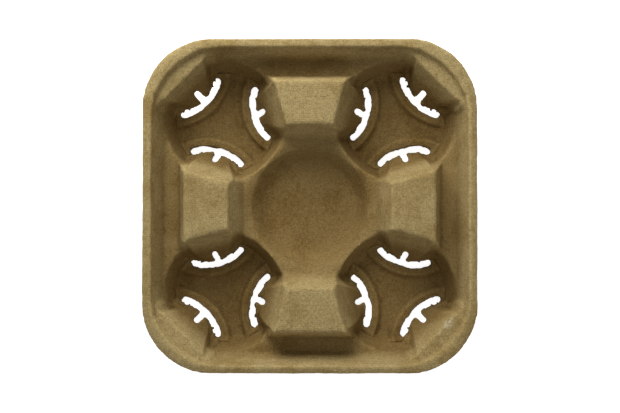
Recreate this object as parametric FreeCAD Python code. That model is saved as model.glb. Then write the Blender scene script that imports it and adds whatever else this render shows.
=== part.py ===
import FreeCAD, Part

import math
import os

# A moulded-pulp carrier tray for four cups, in one thin piece.
# Origin: the middle of the tray, on the surface that it stands on. +Z is up and +Y is the far side.
# Lengths are in millimetres and angles in degrees. A lean is a wall's sideways run for each
# millimetre of height. The tray is the same on its four sides, so one quarter is made and turned.

tray_height = 45.0
wall = 2.2

# Rim: a flat ridge round the inside and a band that slopes down to the outer edge.
rim_ridge_width = 1.2
rim_band_width = 4.3
rim_band_fall = 2.4
rim_corner_radius = 45.0

# Pockets: four round hollows for the cups.
pocket_spacing = 112.0
pocket_floor_radius = 32.3
pocket_floor_bevel = 3.0
pocket_lean = 0.32

# Grooves: the troughs between the rim and the pedestals.
groove_height = 24.0
groove_width = 5.6

# Bowl in the middle of the tray.
bowl_floor_height = 9.0
bowl_floor_radius = 25.0
bowl_floor_bevel = 4.0
bowl_lip_radius = 39.5
bowl_lip_bevel = 3.0
bowl_lip_flat = 3.5

# Flaps: three in each pocket, that press on the cup. Each has a flat front between two flat sides.
# Distances are from the pocket's middle, and half widths are from the flap's own middle line.
flap_turn = 120.0
flap_side_turn = 35.0
flap_foot_distance = 20.3
flap_foot_half_width = 10.0

# Pedestals: the raised blocks between two pockets, whose long sides are flaps.
pedestal_flap_distance = 38.9
pedestal_flap_half_width = 21.0
pedestal_bowl_margin = 0.3
pedestal_inner_lean = 0.44
pedestal_edge_rounding = 2.5

# Corner blocks: the third flap of each pocket, with a shelf on top, just under the rim.
shelf_height = 40.0
shelf_half_width = 25.0
shelf_flap_distance = 36.0
shelf_flap_half_width = 28.0
shelf_edge_rounding = 2.0

# Slots: one at the foot of each flap, with a stem that runs up the flap.
slot_setback = 1.0
slot_bend_radius = 30.0
slot_width = 3.6
slot_half_angle = 36.0
slot_stem_length = 8.4
slot_stem_width = 3.6

# Ledges: the steps in a pocket's floor, between its middle and its slots.
ledge_width = 8.0
ledge_rise = 2.0
ledge_lean = 0.1
ledge_root = 1.5

# How far the shapes that cut and join reach past what they work on.
cut_past = 10.0

pocket_centre = pocket_spacing / 2
slot_middle_distance = flap_foot_distance - slot_setback
slot_bend_centre = slot_middle_distance + slot_bend_radius

ORIGIN = FreeCAD.Vector(0, 0, 0)
UP = FreeCAD.Vector(0, 0, 1)


def point(x, y, z=0.0):
    return FreeCAD.Vector(x, y, z)


def turned(shape, degrees, about=ORIGIN):
    copy = shape.copy()
    copy.rotate(about, UP, degrees)
    return copy


def ring(points, curved=()):
    """A closed wire through points. Curved maps an edge's number to the point that its arc passes."""
    edges = []
    for i, start in enumerate(points):
        end = points[(i + 1) % len(points)]
        if i in curved:
            edges.append(Part.Arc(start, curved[i], end).toShape())
        else:
            edges.append(Part.makeLine(start, end))
    return Part.Wire(edges)


def slant(lean):
    """How far a leaning wall moves sideways for each millimetre that it moves along its own normal."""
    return math.sqrt(1 + lean**2)


def pocket_radius(height):
    """Radius of a pocket's round wall at a height."""
    return pocket_floor_radius + pocket_lean * (height - wall)


def rounded_square(half, radius, height):
    """A level square outline with round corners."""
    flat = half - radius
    bulge = flat + radius * math.sqrt(0.5)
    points = []
    curved = {}
    for sx, sy in ((1, 1), (-1, 1), (-1, -1), (1, -1)):
        corner = [point(sx * half, sy * flat, height), point(sx * flat, sy * half, height)]
        if sx != sy:
            corner.reverse()
        curved[len(points)] = point(sx * bulge, sy * bulge, height)
        points += corner
    return ring(points, curved)


def revolved(outline, bevels):
    """A solid turned about the Z axis from (radius, height) corners. Bevels maps a corner to its bevel."""
    corners = [point(r, 0, z) for r, z in outline]
    points = []
    for i, corner in enumerate(corners):
        if i not in bevels:
            points.append(corner)
            continue
        for neighbour in (corners[i - 1], corners[i + 1]):
            points.append(corner + (neighbour - corner).normalize() * bevels[i])
    return Part.Face(ring(points)).revolve(ORIGIN, UP, 360)


def blank(skin):
    """The block under the rim, with its sloping band. With a skin it is lower, and wider than the tray."""
    outset = cut_past if skin else 0
    ridge = pocket_centre + pocket_radius(tray_height) + rim_ridge_width
    band = rim_band_width + outset
    fall = rim_band_fall * band / rim_band_width
    top = tray_height - skin
    outline = rounded_square(ridge + band, rim_corner_radius + outset, top)
    body = Part.Face(outline).extrude(UP * -(top + cut_past + outset))
    edges = [edge for edge in body.Edges if edge.BoundBox.ZMin > top - 0.01]
    return body.makeChamfer(fall, band, edges)


def pocket_hollow(skin):
    """The round hollow that a cup stands in, open at the top."""
    top = tray_height + cut_past
    bottom = wall - skin
    out = skin * slant(pocket_lean)
    profile = [(0, bottom), (pocket_radius(bottom) + out, bottom), (pocket_radius(top) + out, top), (0, top)]
    solid = revolved(profile, {1: pocket_floor_bevel})
    solid.translate(point(pocket_centre, pocket_centre))
    return solid


def trough(skin):
    """The space from the tray's middle to the rim at +X, down to the floor of the groove."""
    top = tray_height + cut_past
    bottom = groove_height - skin
    out = pocket_centre + skin * slant(pocket_lean)
    outline = ring(
        [
            point(-cut_past, -cut_past, bottom),
            point(out + pocket_radius(bottom), -cut_past, bottom),
            point(out + pocket_radius(top), -cut_past, top),
            point(-cut_past, -cut_past, top),
        ]
    )
    return Part.Face(outline).extrude(point(0, pocket_centre + cut_past))


def bowl_hollow(skin):
    """The round bowl in the middle. Above, its lip and floor are bevelled, and below they are plain."""
    lean = (bowl_lip_radius - bowl_floor_radius) / (groove_height - bowl_floor_height)
    floor = bowl_floor_height - skin
    lip = groove_height - skin
    out = skin * (slant(lean) - lean)
    profile = [(0, floor), (bowl_floor_radius + out, floor), (bowl_lip_radius + out, lip)]
    bevels = {}
    if not skin:
        profile.append((bowl_lip_radius + bowl_lip_flat, lip))
        bevels = {1: bowl_floor_bevel, 2: bowl_lip_bevel}
    rim = profile[-1][0]
    return revolved(profile + [(rim, lip + cut_past), (0, lip + cut_past)], bevels)


def in_pocket(along, across, height):
    """A point of the pocket at +X +Y, from its middle out toward the tray's corner, and across that way."""
    x = pocket_centre + (along - across) * math.sqrt(0.5)
    y = pocket_centre + (along + across) * math.sqrt(0.5)
    return point(x, y, height)


def frustum(sides, low, high):
    """A block with flat leaning sides: each its direction, its distance from the Z axis and its lean."""

    def corner(a, b, height):
        (turn_a, out_a, lean_a), (turn_b, out_b, lean_b) = a, b
        ax, ay = math.cos(math.radians(turn_a)), math.sin(math.radians(turn_a))
        bx, by = math.cos(math.radians(turn_b)), math.sin(math.radians(turn_b))
        da = out_a - lean_a * height
        db = out_b - lean_b * height
        cross = ax * by - ay * bx
        return point((da * by - db * ay) / cross, (db * ax - da * bx) / cross, height)

    count = len(sides)
    foot = [corner(sides[i - 1], sides[i], low) for i in range(count)]
    top = [corner(sides[i - 1], sides[i], high) for i in range(count)]
    faces = [Part.Face(ring(foot[::-1])), Part.Face(ring(top))]
    for i in range(count):
        j = (i + 1) % count
        faces.append(Part.Face(ring([foot[i], foot[j], top[j], top[i]])))
    return Part.Solid(Part.Shell(faces))


def hill(sides, height, skin, rounding=0):
    """A frustum, with a rounded top edge. With a skin it is smaller by that on every side, and plain."""
    inset = [(turn, out - skin * slant(lean), lean) for turn, out, lean in sides]
    solid = frustum(inset, -wall, height - skin)
    if skin or not rounding:
        return solid
    return solid.makeFillet(rounding, [edge for edge in solid.Edges if edge.BoundBox.ZMin > height - 0.01])


def flap_plane(turn, foot, top, height):
    """A side for a frustum, from its distances to the pocket's middle at the floor and at a height."""
    lean = (top - foot) / (height - wall)
    facing = math.radians(45 + turn)
    middle = pocket_centre * (math.cos(facing) + math.sin(facing))
    return (225 + turn, lean * wall - middle - foot, lean)


def flap_front(distance, height, turn):
    """The flat front of a flap, at a distance from the pocket's middle at the height of its top edge."""
    return flap_plane(turn, flap_foot_distance, distance, height)


def flap_side(distance, half_width, height, turn, side):
    """One of the two flat sides of a flap, where side is -1 or 1."""
    along = math.cos(math.radians(flap_side_turn))
    across = math.sin(math.radians(flap_side_turn))
    foot = flap_foot_distance * along - flap_foot_half_width * across
    top = distance * along - half_width * across
    return flap_plane(turn + side * flap_side_turn, foot, top, height)


def mirrored(side):
    """The same side of a frustum, on the other side of the X axis."""
    facing, out, lean = side
    return (-facing, out, lean)


def pedestal(skin):
    """The block at +X between two pockets: its long sides are a flap of each."""
    inner = bowl_lip_radius + bowl_lip_flat + pedestal_bowl_margin - pedestal_inner_lean * groove_height
    outer = pocket_centre + pocket_radius(groove_height) - groove_width + pocket_lean * groove_height
    front = flap_front(pedestal_flap_distance, tray_height, -flap_turn)
    flap = (pedestal_flap_distance, pedestal_flap_half_width, tray_height, -flap_turn)
    sides = [flap_side(*flap, -1), flap_side(*flap, 1)]
    fronts = [(0, outer, pocket_lean), front, (180, -inner, pedestal_inner_lean), mirrored(front)]
    block = hill(fronts, tray_height, skin, pedestal_edge_rounding)
    return block.common(hill(sides + [mirrored(sides[1]), mirrored(sides[0])], tray_height, skin))


def corner_block(skin):
    """The block in the outer corner of the pocket at +X +Y."""
    back = (45, pocket_centre * math.sqrt(2) + pocket_radius(shelf_height) + wall / 2, 0)
    front = flap_front(shelf_flap_distance, shelf_height, 0)
    flap = (shelf_flap_distance, shelf_flap_half_width, shelf_height, 0)
    fronts = [back, (135, shelf_half_width, 0), front, (-45, shelf_half_width, 0)]
    block = hill(fronts, shelf_height, skin, shelf_edge_rounding)
    return block.common(hill([back, flap_side(*flap, -1), flap_side(*flap, 1)], shelf_height, skin))


def around_pocket(shape):
    """The three copies of a shape, one for each flap of the pocket at +X +Y."""
    middle = point(pocket_centre, pocket_centre)
    return [turned(shape, turn, middle) for turn in (0, flap_turn, -flap_turn)]


def ledge():
    """The step in a pocket's floor beside a slot: steep toward the middle, gentle toward the slot."""
    edge = slot_bend_radius + ledge_width
    high = wall + ledge_rise
    near = slot_middle_distance - ledge_width
    reach = pocket_radius(high) + ledge_root
    side = ring(
        [
            point(near, -reach, -wall),
            point(near + 2 * reach, -reach, -wall),
            point(near + 2 * reach, -reach, high - ledge_lean * 2 * reach),
            point(near, -reach, high),
        ]
    )
    slab = Part.Face(side).extrude(point(0, 2 * reach))
    disc = Part.makeCylinder(edge, tray_height, point(slot_bend_centre, 0, -wall))
    within = Part.makeCylinder(reach, tray_height, UP * -wall)
    step = turned(slab.common(disc).common(within), 45)
    step.translate(in_pocket(0, 0, 0))
    return step


def slot():
    """The cutter for the slot at the foot of a corner block's flap."""
    bottom = -wall
    height = groove_height
    middle = point(slot_bend_centre, 0, bottom)
    outer = Part.makeCylinder(slot_bend_radius + slot_width / 2, height, middle, UP, 2 * slot_half_angle)
    inner = Part.makeCylinder(slot_bend_radius - slot_width / 2, height, middle)
    band = turned(outer, 180 - slot_half_angle, middle).cut(inner)
    stem = Part.makeBox(slot_stem_length, slot_stem_width, height)
    stem.translate(point(slot_middle_distance, -slot_stem_width / 2, bottom))
    cutter = turned(band.fuse(stem).removeSplitter(), 45)
    cutter.translate(in_pocket(0, 0, 0))
    return cutter


def form(skin):
    """A quarter of the solid under the tray's upper face or, with the wall as skin, under its lower face."""
    to_rim = trough(skin)
    hollow = pocket_hollow(skin).multiFuse([to_rim, to_rim.mirror(ORIGIN, point(1, -1))])
    reach = tray_height + pocket_spacing
    around = Part.makeBox(reach, reach, reach, point(-wall, -wall, -reach / 2))
    solid = blank(skin).common(around).cut(hollow)
    block = pedestal(skin)
    ledges = [] if skin else around_pocket(ledge())
    for raised in [block, turned(block, 90), corner_block(skin)] + ledges:
        solid = solid.fuse(raised)
    return solid.cut(bowl_hollow(skin))


def carrier_tray():
    """The quarter of the shell between the two forms, with its slots, turned four times and joined."""
    shell = form(0).cut(form(wall))
    reach = tray_height + pocket_spacing
    quarter = shell.common(Part.makeBox(reach, reach, reach)).cut(around_pocket(slot()))
    quarters = [turned(quarter, 90 * turn) for turn in range(4)]
    return quarters[0].multiFuse(quarters[1:]).removeSplitter()


tray = carrier_tray()
print("solids", len(tray.Solids), "valid", tray.isValid(), "volume", round(tray.Volume))
os.makedirs("parts", exist_ok=True)
tray.exportStep("parts/carrier_tray.step")
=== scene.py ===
import math

import bmesh
import bpy
import numpy as np
from mathutils import Matrix, Vector, noise


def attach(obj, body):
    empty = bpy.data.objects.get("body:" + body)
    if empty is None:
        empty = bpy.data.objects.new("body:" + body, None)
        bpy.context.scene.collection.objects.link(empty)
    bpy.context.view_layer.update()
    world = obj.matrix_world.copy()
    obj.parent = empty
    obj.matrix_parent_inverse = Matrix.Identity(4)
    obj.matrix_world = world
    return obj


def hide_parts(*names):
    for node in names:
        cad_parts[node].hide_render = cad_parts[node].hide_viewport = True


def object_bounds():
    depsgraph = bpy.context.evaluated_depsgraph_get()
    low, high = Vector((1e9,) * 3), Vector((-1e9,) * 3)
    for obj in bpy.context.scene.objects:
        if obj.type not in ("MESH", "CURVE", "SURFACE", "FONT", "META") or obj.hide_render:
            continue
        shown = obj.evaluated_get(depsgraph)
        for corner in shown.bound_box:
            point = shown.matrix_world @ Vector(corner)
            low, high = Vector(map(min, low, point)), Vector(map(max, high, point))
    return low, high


# A moulded-pulp cup tray seen from above. Lengths are in metres.
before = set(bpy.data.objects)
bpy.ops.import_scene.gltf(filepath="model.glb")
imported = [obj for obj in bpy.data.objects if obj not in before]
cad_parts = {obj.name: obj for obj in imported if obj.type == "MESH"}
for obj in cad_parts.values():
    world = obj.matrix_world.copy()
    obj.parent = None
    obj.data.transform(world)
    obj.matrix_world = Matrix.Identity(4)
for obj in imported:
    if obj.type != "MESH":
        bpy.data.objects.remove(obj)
cad_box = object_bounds()

# The tray's own places, as the frame has them.
POCKET_CENTRE = 0.056
TRAY_TOP = 0.045
WALL = 0.0022
FLAP_TURN = 120
SLOT_MIDDLE = 0.0193
SLOT_BEND = 0.030
SLOT_HALF_LENGTH = 0.021

# The camera and its view of the tray's top, for an image of 620 by 413 pixels.
IMAGE_WIDTH = 620
SENSOR_WIDTH = 36.0
VIEW_DISTANCE = 1.0
VIEW_SCALE = 0.0006385
VIEW_OFFSET = (0.012, -0.022)
VIEW_CENTRE = (0.00025, -0.0005)

# The lamps, as place, size and power. They face LAMP_TARGET, over an even fill.
KEY_LAMP = ((-0.16, 0.52, 0.39), 0.50, 4.5)
ACROSS_LAMP = ((0.24, -0.36, 0.46), 0.60, 0.65)
LAMP_TARGET = (0, 0, 0.03)
FILL_STRENGTH = 0.205

# The floor, and how white it looks where no lamp reaches it: the lamps add the rest.
FLOOR_SIZE = 12
FLOOR_HEIGHT = -0.0002
FLOOR_COLOUR = (0.80, 0.80, 0.80, 1)
FLOOR_GLOW = 0.90
WHITE = (1, 1, 1, 1)

# A pair of values marked as a range holds where a change is full, and where it has faded out.

# The rim's sloping band, and how much less it falls here at its outer edge.
RIM_RIDGE = 0.1032
RIM_RADIUS = 0.0407
RIM_BAND = 0.0043
RIM_LIFT = 0.0012

# The ledges beside the slots, and how much higher and crisper they stand here.
LEDGE_WIDTH = 0.008
LEDGE_REACH = 0.0335
LEDGE_LIFT = 0.0018
LEDGE_STEP = 0.0010
LEDGE_TOP = 0.008
LEDGE_FADE = 0.003
FACING_UP = 0.3

# Flaps: distance from the pocket's middle at the top, height there, and half the front's width there.
FLAP_FOOT = 0.0203
PEDESTAL_FLAP = (0.0389, 0.045, 0.021)
SHELF_FLAP = (0.0360, 0.040, 0.028)
FLAP_SIDE_SLOPE = math.tan(math.radians(35))

# Half the front's width at the foot in the frame, and half its width here at foot and top.
FLAP_FRAME_FOOT = 0.010
FLAP_FOOT_HALF = 0.0055
FLAP_TOP_HALF = 0.018

# The ranges in which a flap changes: behind its front, before it, in height and to its sides.
FLAP_BEHIND = (0.004, 0.014)
FLAP_BEFORE = (-0.001, -0.004)
FLAP_HEIGHTS = (0.013, 0.008)
FLAP_SIDES = (0.017, 0.023)

# Pedestals: how far the outer side stands in here, at its foot and top, and the ranges of that.
PEDESTAL_TUCK = (0.0042, 0.0022)
PEDESTAL_OUTER = (0.082, 0.074)
PEDESTAL_HALF = (0.026, 0.032)
PEDESTAL_HEIGHTS = (0.020, 0.014)
GROOVE_FLOOR = (0.0895, 0.0945)
GROOVE_HEIGHT = 0.024

# The bowl: how far its wall moves out at each radius, below BOWL_TOP.
BOWL_RADII = (0.016, 0.025, 0.0385, 0.045)
BOWL_SHIFTS = (0.0, 0.0042, 0.0004, 0.0)
BOWL_TOP = 0.026

# The thin lip outside each corner's shelf: its range along the corner's diagonal, its top, and the
# share of its height that is drawn up.
LIP_OUT = (0.1222, 0.1214)
LIP_TOP = 0.0378
LIP_DRAWN = 0.85

# The dense mesh: weld distance, voxel size, rounding, the share of faces kept, and its gap to the CAD box.
WELD = 1e-6
VOXEL = 0.0011
ROUNDING = 0.5
ROUNDING_PASSES = 3
KEPT_SHARE = 0.52
BOX_GAP = 1e-5
TINY = 1e-6

# Layers of smooth noise, as height, features in a metre, and seed: the felted surface and the torn slots.
FELT_LAYERS = ((0.00020, 45, 1), (0.00022, 190, 2), (0.00012, 620, 3))
TORN_LAYERS = ((1.0, 130, 4), (0.8, 340, 5), (0.5, 700, 6))
SEED_STEP = (7.3, 3.1, 5.7)
RAGGED_HEIGHT = 0.0018
RAGGED_REACH = 0.0045
TIP_FADE = 2

# Each slot is widest at some way from its stem, on both sides.
LOBE_PLACE = 0.012
LOBE_REACH = 0.006
LOBE_DEPTH = 0.0016

# The pulp's finish, and its colours as linear values.
PULP_ROUGHNESS = 0.93
PULP_SPECULAR = 0.18
PULP_DARK = (0.285, 0.190, 0.070, 1.0)
PULP_MIDDLE = (0.368, 0.258, 0.096, 1.0)
PULP_LIGHT = (0.475, 0.360, 0.160, 1.0)
PULP_STOPS = ((0.30, PULP_DARK), (0.72, PULP_LIGHT), (0.52, PULP_MIDDLE))
SPECK_DARK = (0.120, 0.068, 0.022, 1.0)
SPECK_LIGHT = (0.66, 0.54, 0.32, 1.0)

# The pulp's noise textures, as scale, detail, roughness, distortion, and the fibres' turn and stretch.
CLOUD_NOISE = (38, 5, 0.62)
MOTTLE_NOISE = (230, 5, 0.7)
LIGHT_FIBRES = (520, 3, 0.6, 1.2, ((0, 0, 0.6), (1, 0.18, 1)))
DARK_FIBRES = (520, 3, 0.6, 1.2, ((0, 0, -0.9), (0.2, 1, 1)))
DARK_SPECKS = (760, 2, 0.5)
LIGHT_SPECKS = (640, 2, 0.5, 0.4)
FINE_NAP = (1500, 4, 0.8)
COARSE_NAP = (620, 3, 0.7)
ROUGH_BUMP = (1100, 6, 0.8, 0.4)
SCUFF_NOISE = (420, 3, 0.6)

# Where each of them sets in and is full, and the shares in which they are added.
LIGHT_FIBRE_SHOWS = (0.62, 0.78)
DARK_FIBRE_SHOWS = (0.64, 0.80)
DARK_SPECK_SHOWS = (0.69, 0.76)
LIGHT_SPECK_SHOWS = (0.70, 0.78)
NAP_SHOWS = (0.50, 1.0)
SCUFF_SHOWS = (0.46, 0.60)
MOTTLE_SHARE = 0.35
NAP_SHARE = 0.5
FIBRE_BUMP = 0.4
WIRE_BUMP = 0.10
BUMP_DISTANCE = 0.0006

# The print of the wire cloth that the pulp was formed on.
WIRE_SCALE = 240
WIRE_DISTORTION = 2.2
WIRE_DETAIL = 2.0
WIRE_DETAIL_SCALE = 1.5
WIRE_SHOWS = (0.2, 1.8)

# Tints that the colour is multiplied by, and the ranges of height, facing and edge that they belong to;
# three of them are painted shade low in the pockets, a painted highlight on ridges and painted shade in
# each crease.
NAP_TINTS = ((0.62, 0.60, 0.54, 1), (1.36, 1.36, 1.38, 1))
WIRE_TINTS = ((0.96, 0.955, 0.94, 1), (1.03, 1.03, 1.04, 1))
# Painted shade: the colour is darker low in the tray, on the pockets' floors and in the grooves.
LOW_PAINTED_SHADE = (0.62, 0.55, 0.44, 1.0)
SHADE_LOW_TO_HIGH = (0.018, 0.037)
OUTSIDE_TINT = (0.90, 0.88, 0.84, 1.0)
OUTSIDE_TO_INSIDE = (-0.15, 0.15)
# Painted highlight: ridges and convex edges made paler, by the mesh's pointiness.
EDGE_PAINTED_HIGHLIGHT = (1.26, 1.26, 1.28, 1.0)
EDGE_HIGHLIGHT_SHOWS = (0.505, 0.56)
# Painted shade: each crease made darker, by the mesh's pointiness.
CREASE_PAINTED_SHADE = (0.66, 0.61, 0.54, 1.0)
CREASE_SHADE_SHOWS = (0.495, 0.44)

# A pale scuff on one corner's shelf.
SCUFF_COLOUR = (0.74, 0.68, 0.52, 1.0)
SCUFF_PLACE = (0.0878, -0.0744, 0.041)
SCUFF_RADIUS = 0.006


def spun(vector, turn):
    """A plane vector turned by an angle."""
    c, s = math.cos(turn), math.sin(turn)
    return Vector((vector.x * c - vector.y * s, vector.x * s + vector.y * c))


def flaps():
    """Each flap's pocket centre, its outward direction in the plane, and whether it ends in a shelf."""
    places = []
    for corner in range(4):
        turn = math.radians(90 * corner)
        for flap in range(3):
            facing = math.radians(45 + FLAP_TURN * flap)
            centre = spun(Vector((POCKET_CENTRE, POCKET_CENTRE)), turn)
            out = spun(Vector((math.cos(facing), math.sin(facing))), turn)
            places.append((centre, out, flap == 0))
    return places


def slot_places():
    """The middle of each slot's arc, and the point that the arc bends about, in the plane."""
    return [(c + out * SLOT_MIDDLE, c + out * (SLOT_MIDDLE + SLOT_BEND)) for c, out, _ in flaps()]


def fade(value, full, none):
    """1 on the full side of a range, 0 on the other side, and even in between."""
    return np.clip((value - none) / (full - none), 0, 1)


def lift_rim(points):
    """Raises the rim's band from nothing at its ridge to RIM_LIFT at its outer edge."""
    corner = RIM_RIDGE - RIM_RADIUS
    beyond = np.maximum(np.abs(points[:, :2]) - corner, 0)
    out = np.hypot(beyond[:, 0], beyond[:, 1]) - RIM_RADIUS
    points[:, 2] += RIM_LIFT * np.clip(out / RIM_BAND, 0, 1)


def lift_ledges(points, normals):
    """Raises the upper face of each ledge in the pockets' floors, with a crisp edge toward the middle."""
    from_pocket = np.hypot(np.abs(points[:, 0]) - POCKET_CENTRE, np.abs(points[:, 1]) - POCKET_CENTRE)
    to_bend = np.full(len(points), 1.0)
    for _, bend in slot_places():
        to_bend = np.minimum(to_bend, np.hypot(points[:, 0] - bend.x, points[:, 1] - bend.y))
    share = np.clip((SLOT_BEND + LEDGE_WIDTH - to_bend) / LEDGE_STEP, 0, 1)
    share *= np.clip((LEDGE_REACH - from_pocket) / LEDGE_STEP, 0, 1)
    share *= np.clip((LEDGE_TOP - points[:, 2]) / LEDGE_FADE, 0, 1) * (normals[:, 2] > FACING_UP)
    points[:, 2] += LEDGE_LIFT * share


def narrow_flaps(points):
    """Turns more of each flap's front into its two slanting sides, most at its foot."""
    for centre, out, is_shelf in flaps():
        top, height, frame_half = SHELF_FLAP if is_shelf else PEDESTAL_FLAP
        offset = points[:, :2] - np.array(centre)
        along = offset @ np.array(out)
        across = np.abs(offset @ np.array((-out.y, out.x)))
        share = np.clip((points[:, 2] - WALL) / (height - WALL), 0, 1)
        front = FLAP_FOOT + (top - FLAP_FOOT) * share
        had = np.maximum(across - FLAP_FRAME_FOOT - (frame_half - FLAP_FRAME_FOOT) * share, 0)
        wanted = np.maximum(across - FLAP_FOOT_HALF - (FLAP_TOP_HALF - FLAP_FOOT_HALF) * share, 0)
        behind = along - front - had * FLAP_SIDE_SLOPE
        weight = fade(behind, *FLAP_BEHIND) * fade(behind, *FLAP_BEFORE)
        weight *= fade(points[:, 2], *FLAP_HEIGHTS) * fade(across, *FLAP_SIDES) * (along > 0)
        move = (wanted - had) * FLAP_SIDE_SLOPE * weight
        points[:, :2] += move[:, None] * np.array(out)


def tuck_pedestals(points):
    """Sets each pedestal's outer side in, more at its foot, so that it stands steeper."""
    foot, top = PEDESTAL_TUCK
    tuck = foot + (top - foot) * fade(points[:, 2], TRAY_TOP, GROOVE_HEIGHT)
    tuck *= fade(points[:, 2], *PEDESTAL_HEIGHTS)
    for axis, other in ((0, 1), (1, 0)):
        out = np.abs(points[:, axis])
        weight = fade(out, *PEDESTAL_OUTER) * fade(out, *GROOVE_FLOOR)
        weight *= fade(np.abs(points[:, other]), *PEDESTAL_HALF)
        points[:, axis] -= np.sign(points[:, axis]) * tuck * weight


def steeper_bowl(points):
    """Moves the bowl's wall out, most at its foot."""
    radius = np.hypot(points[:, 0], points[:, 1])
    shift = np.interp(radius, BOWL_RADII, BOWL_SHIFTS) * (points[:, 2] < BOWL_TOP)
    points[:, :2] *= (1 + shift / np.maximum(radius, TINY))[:, None]


def draw_up_lips(points):
    """Draws up the thin lip that hangs outside each corner's shelf."""
    out = np.abs(points[:, :2]).sum(axis=1) / math.sqrt(2)
    points[:, 2] += LIP_DRAWN * np.maximum(LIP_TOP - points[:, 2], 0) * fade(out, *LIP_OUT)


def near_slot(points):
    """1 at a slot, fading to 0 at RAGGED_REACH from it, and the slot's lobes, for each point."""
    nearest = np.full(len(points), 1.0)
    lobe = np.zeros(len(points))
    for middle, bend in slot_places():
        to_arc = np.abs(np.hypot(points[:, 0] - bend.x, points[:, 1] - bend.y) - SLOT_BEND)
        along = np.hypot(points[:, 0] - middle.x, points[:, 1] - middle.y)
        gap = to_arc + np.maximum(along - SLOT_HALF_LENGTH, 0) * TIP_FADE
        lobe = np.where(gap < nearest, np.exp(-((along - LOBE_PLACE) / LOBE_REACH) ** 2), lobe)
        nearest = np.minimum(nearest, gap)
    return np.clip(1 - nearest / RAGGED_REACH, 0, 1), lobe


def field(points, scale, seed):
    """Smooth noise between about -1 and 1 at each point, with features about 1 / scale wide."""
    shift = Vector([seed * step for step in SEED_STEP])
    return np.array([noise.noise(Vector(p) * scale + shift) for p in points])


def relief(points, layers):
    """The sum of layers of smooth noise at each point."""
    return sum(height * field(points, scale, seed) for height, scale, seed in layers)


def bake(piece):
    """Applies the piece's modifiers."""
    graph = bpy.context.evaluated_depsgraph_get()
    piece.data = bpy.data.meshes.new_from_object(piece.evaluated_get(graph))
    piece.modifiers.clear()


def dense_mesh(node):
    """The tray's form as an even, softly rounded mesh."""
    build = bmesh.new()
    build.from_mesh(node.data)
    bmesh.ops.remove_doubles(build, verts=build.verts, dist=WELD)
    mesh = bpy.data.meshes.new("pulp_tray")
    build.to_mesh(mesh)
    build.free()
    piece = bpy.data.objects.new("pulp_tray", mesh)
    bpy.context.scene.collection.objects.link(piece)
    remesh = piece.modifiers.new("even", "REMESH")
    remesh.mode = "VOXEL"
    remesh.voxel_size = VOXEL
    smooth = piece.modifiers.new("rounded", "SMOOTH")
    smooth.factor = ROUNDING
    smooth.iterations = ROUNDING_PASSES
    bake(piece)
    return piece


def read_vectors(mesh, name):
    """A vector of each of the mesh's vertices, as rows."""
    values = np.empty(len(mesh.vertices) * 3)
    mesh.vertices.foreach_get(name, values)
    return values.reshape(-1, 3)


def shape_and_felt(piece):
    """Fits the form to the photograph, felts it, tears the slots' edges, and thins out the mesh."""
    mesh = piece.data
    points = read_vectors(mesh, "co")
    normals = read_vectors(mesh, "normal")
    rise = relief(points, FELT_LAYERS)
    near, lobe = near_slot(points)
    torn = RAGGED_HEIGHT * relief(points, TORN_LAYERS) - LOBE_DEPTH * lobe
    rise += near * (1 - np.abs(normals[:, 2])) * torn
    lift_rim(points)
    lift_ledges(points, normals)
    narrow_flaps(points)
    tuck_pedestals(points)
    steeper_bowl(points)
    draw_up_lips(points)
    points = points + normals * rise[:, None]
    low, high = cad_box
    points = np.clip(points, np.array(low) + BOX_GAP, np.array(high) - BOX_GAP)
    mesh.vertices.foreach_set("co", points.ravel())
    mesh.update()
    lighter = piece.modifiers.new("lighter", "DECIMATE")
    lighter.ratio = KEPT_SHARE
    bake(piece)
    piece.data.shade_smooth()


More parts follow.
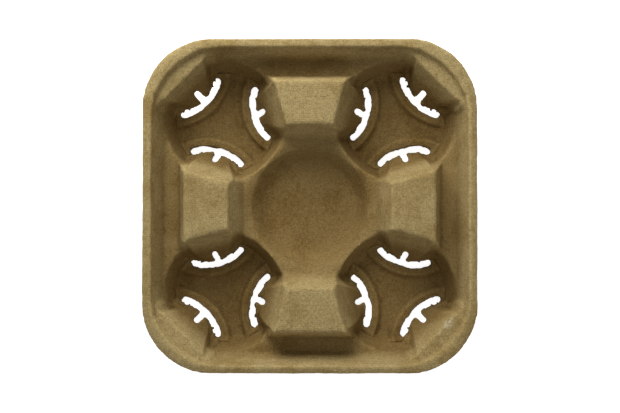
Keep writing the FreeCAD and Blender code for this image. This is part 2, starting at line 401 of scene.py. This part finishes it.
class Graph:
    """The nodes of one material, made and linked by short calls."""

    def __init__(self, name):
        self.material = bpy.data.materials.new(name)
        self.material.use_nodes = True
        self.nodes = self.material.node_tree.nodes
        self.link = self.material.node_tree.links.new
        self.shader = self.nodes["Principled BSDF"]

    def feed(self, socket, value):
        """Links an output to a socket, or sets the socket's own value."""
        if isinstance(value, bpy.types.NodeSocket):
            self.link(value, socket)
        else:
            socket.default_value = value

    def calculated(self, operation, *values):
        """The result of a Math node."""
        node = self.nodes.new("ShaderNodeMath")
        node.operation = operation
        for socket, value in zip(node.inputs, values):
            self.feed(socket, value)
        return node.outputs["Value"]

    def added(self, a, b, share):
        """a, plus a share of b."""
        return self.calculated("MULTIPLY_ADD", b, share, a)

    def mixed(self, kind, share, a, b):
        """Two colours blended by a share."""
        node = self.nodes.new("ShaderNodeMix")
        node.data_type = "RGBA"
        node.blend_type = kind
        self.feed(node.inputs["Factor"], share)
        self.feed(node.inputs["A"], a)
        self.feed(node.inputs["B"], b)
        return node.outputs["Result"]

    def tinted(self, colour, tint):
        """A colour multiplied by a tint."""
        return self.mixed("MULTIPLY", 1.0, colour, tint)

    def step(self, value, low, high):
        """0 at low, rising smoothly to 1 at high."""
        node = self.nodes.new("ShaderNodeMapRange")
        node.interpolation_type = "SMOOTHSTEP"
        node.inputs["From Min"].default_value = low
        node.inputs["From Max"].default_value = high
        self.link(value, node.inputs["Value"])
        return node.outputs["Result"]

    def ramp(self, value, stops):
        """A colour from a ramp with the given stops of place and colour."""
        node = self.nodes.new("ShaderNodeValToRGB")
        elements = node.color_ramp.elements
        for i, (place, colour) in enumerate(stops):
            element = elements[i] if i < 2 else elements.new(place)
            element.position = place
            element.color = colour
        self.link(value, node.inputs["Fac"])
        return node.outputs["Color"]

    def upward(self, vector):
        """A vector's Z."""
        node = self.nodes.new("ShaderNodeSeparateXYZ")
        self.link(vector, node.inputs["Vector"])
        return node.outputs["Z"]

    def distance(self, a, b):
        """The distance between two places."""
        node = self.nodes.new("ShaderNodeVectorMath")
        node.operation = "DISTANCE"
        self.feed(node.inputs[0], a)
        self.feed(node.inputs[1], b)
        return node.outputs["Value"]

    def noise(self, place, scale, detail, rough, distortion=0.0, stretch=None):
        """A noise texture, stretched along a turned axis where that is given."""
        if stretch:
            mapping = self.nodes.new("ShaderNodeMapping")
            mapping.inputs["Rotation"].default_value = stretch[0]
            mapping.inputs["Scale"].default_value = stretch[1]
            self.link(place, mapping.inputs["Vector"])
            place = mapping.outputs["Vector"]
        texture = self.nodes.new("ShaderNodeTexNoise")
        texture.inputs["Scale"].default_value = scale
        texture.inputs["Detail"].default_value = detail
        texture.inputs["Roughness"].default_value = rough
        texture.inputs["Distortion"].default_value = distortion
        self.link(place, texture.inputs["Vector"])
        return texture.outputs["Fac"]

    def wires(self, place, axis):
        """Wavering lines across one axis."""
        texture = self.nodes.new("ShaderNodeTexWave")
        texture.bands_direction = axis
        texture.inputs["Scale"].default_value = WIRE_SCALE
        texture.inputs["Distortion"].default_value = WIRE_DISTORTION
        texture.inputs["Detail"].default_value = WIRE_DETAIL
        texture.inputs["Detail Scale"].default_value = WIRE_DETAIL_SCALE
        self.link(place, texture.inputs["Vector"])
        return texture.outputs["Fac"]


def pulp_material():
    """Felted brown pulp: mottle, fibres, specks and nap, with a painted highlight on ridges, painted shade
    in each crease and painted shade low in the pockets.
    """
    graph = Graph("pulp")
    graph.shader.inputs["Roughness"].default_value = PULP_ROUGHNESS
    graph.shader.inputs["Specular IOR Level"].default_value = PULP_SPECULAR
    coordinates = graph.nodes.new("ShaderNodeTexCoord")
    place = coordinates.outputs["Object"]
    light_fibres = graph.noise(place, *LIGHT_FIBRES)
    dark_fibres = graph.noise(place, *DARK_FIBRES)
    wires = graph.added(graph.wires(place, "X"), graph.wires(place, "Y"), 1.0)

    mottle = graph.added(graph.noise(place, *CLOUD_NOISE), graph.noise(place, *MOTTLE_NOISE), MOTTLE_SHARE)
    colour = graph.ramp(mottle, PULP_STOPS)
    for marks, shows, shade in (
        (light_fibres, LIGHT_FIBRE_SHOWS, PULP_LIGHT),
        (dark_fibres, DARK_FIBRE_SHOWS, PULP_DARK),
        (graph.noise(place, *DARK_SPECKS), DARK_SPECK_SHOWS, SPECK_DARK),
        (graph.noise(place, *LIGHT_SPECKS), LIGHT_SPECK_SHOWS, SPECK_LIGHT),
    ):
        colour = graph.mixed("MIX", graph.step(marks, *shows), colour, shade)

    nap = graph.added(graph.noise(place, *FINE_NAP), graph.noise(place, *COARSE_NAP), NAP_SHARE)
    colour = graph.tinted(colour, graph.mixed("MIX", graph.step(nap, *NAP_SHOWS), *NAP_TINTS))
    # Painted shade: darker low in the tray, on the pockets' floors and in the grooves.
    low = graph.mixed("MIX", graph.step(graph.upward(place), *SHADE_LOW_TO_HIGH), LOW_PAINTED_SHADE, WHITE)
    inside = graph.step(graph.upward(coordinates.outputs["Normal"]), *OUTSIDE_TO_INSIDE)
    colour = graph.tinted(colour, graph.mixed("MIX", inside, OUTSIDE_TINT, low))
    bend = graph.nodes.new("ShaderNodeNewGeometry").outputs["Pointiness"]
    # Painted highlight on ridges and convex edges.
    edges = graph.mixed("MIX", graph.step(bend, *EDGE_HIGHLIGHT_SHOWS), WHITE, EDGE_PAINTED_HIGHLIGHT)
    # Painted shade in each crease.
    crease_shade = graph.mixed("MIX", graph.step(bend, *CREASE_SHADE_SHOWS), WHITE, CREASE_PAINTED_SHADE)
    colour = graph.tinted(colour, graph.tinted(edges, crease_shade))
    colour = graph.tinted(colour, graph.mixed("MIX", graph.step(wires, *WIRE_SHOWS), *WIRE_TINTS))

    near = graph.step(graph.distance(place, SCUFF_PLACE), SCUFF_RADIUS, 0)
    broken = graph.step(graph.noise(place, *SCUFF_NOISE), *SCUFF_SHOWS)
    scuff = graph.calculated("MULTIPLY", near, broken)
    colour = graph.mixed("MIX", scuff, colour, SCUFF_COLOUR)
    graph.link(colour, graph.shader.inputs["Base Color"])

    height = graph.added(graph.noise(place, *ROUGH_BUMP), light_fibres, FIBRE_BUMP)
    height = graph.added(height, dark_fibres, FIBRE_BUMP)
    height = graph.added(height, wires, WIRE_BUMP)
    bump = graph.nodes.new("ShaderNodeBump")
    bump.inputs["Strength"].default_value = 1.0
    bump.inputs["Distance"].default_value = BUMP_DISTANCE
    graph.link(height, bump.inputs["Height"])
    graph.link(bump.outputs["Normal"], graph.shader.inputs["Normal"])
    return graph.material


def white_floor():
    """A pale floor that the camera sees as nearly white, with the tray's soft shadow on it."""
    bpy.ops.mesh.primitive_plane_add(size=FLOOR_SIZE, location=(0, 0, FLOOR_HEIGHT))
    floor = bpy.context.object
    floor.name = "floor"
    graph = Graph("floor")
    graph.shader.inputs["Base Color"].default_value = FLOOR_COLOUR
    graph.shader.inputs["Roughness"].default_value = 1.0
    graph.shader.inputs["Specular IOR Level"].default_value = 0.0
    graph.shader.inputs["Emission Color"].default_value = WHITE
    rays = graph.nodes.new("ShaderNodeLightPath").outputs
    seen = graph.calculated("MAXIMUM", rays["Is Camera Ray"], rays["Is Glossy Ray"])
    seen = graph.calculated("MAXIMUM", seen, rays["Is Transmission Ray"])
    glow = graph.calculated("MULTIPLY", seen, FLOOR_GLOW)
    graph.link(glow, graph.shader.inputs["Emission Strength"])
    floor.data.materials.append(graph.material)


def soft_lamp(name, place, size, power):
    """A square softbox at a place, facing the tray."""
    lamp = bpy.data.lights.new(name, "AREA")
    lamp.size = size
    lamp.energy = power
    holder = bpy.data.objects.new(name, lamp)
    holder.location = place
    holder.rotation_euler = (Vector(LAMP_TARGET) - Vector(place)).to_track_quat("-Z", "Y").to_euler()
    bpy.context.scene.collection.objects.link(holder)


def studio():
    """A near softbox from the far side, a little to the left, a weak one across from it, and a fill."""
    soft_lamp("key", *KEY_LAMP)
    soft_lamp("across", *ACROSS_LAMP)
    world = bpy.data.worlds.new("fill")
    world.use_nodes = True
    back = world.node_tree.nodes["Background"]
    back.inputs["Color"].default_value = WHITE
    back.inputs["Strength"].default_value = FILL_STRENGTH
    bpy.context.scene.world = world


def camera():
    """Nearly straight above the tray, with the photograph's top edge toward +Y."""
    lens = bpy.data.cameras.new("camera")
    lens.sensor_width = SENSOR_WIDTH
    lens.lens = VIEW_DISTANCE / VIEW_SCALE * SENSOR_WIDTH / IMAGE_WIDTH
    eye = bpy.data.objects.new("camera", lens)
    eye.location = (VIEW_OFFSET[0], VIEW_OFFSET[1], TRAY_TOP + VIEW_DISTANCE)
    back = (eye.location - Vector((VIEW_CENTRE[0], VIEW_CENTRE[1], TRAY_TOP))).normalized()
    right = Vector((0, 1, 0)).cross(back).normalized()
    eye.rotation_euler = Matrix((right, back.cross(right), back)).transposed().to_euler()
    bpy.context.scene.collection.objects.link(eye)
    bpy.context.scene.camera = eye


tray = dense_mesh(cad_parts["carrier_tray"])
shape_and_felt(tray)
tray.data.materials.clear()
tray.data.materials.append(pulp_material())
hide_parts("carrier_tray")
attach(tray, "root")

white_floor()
studio()
camera()
bpy.context.scene.view_settings.view_transform = "Standard"
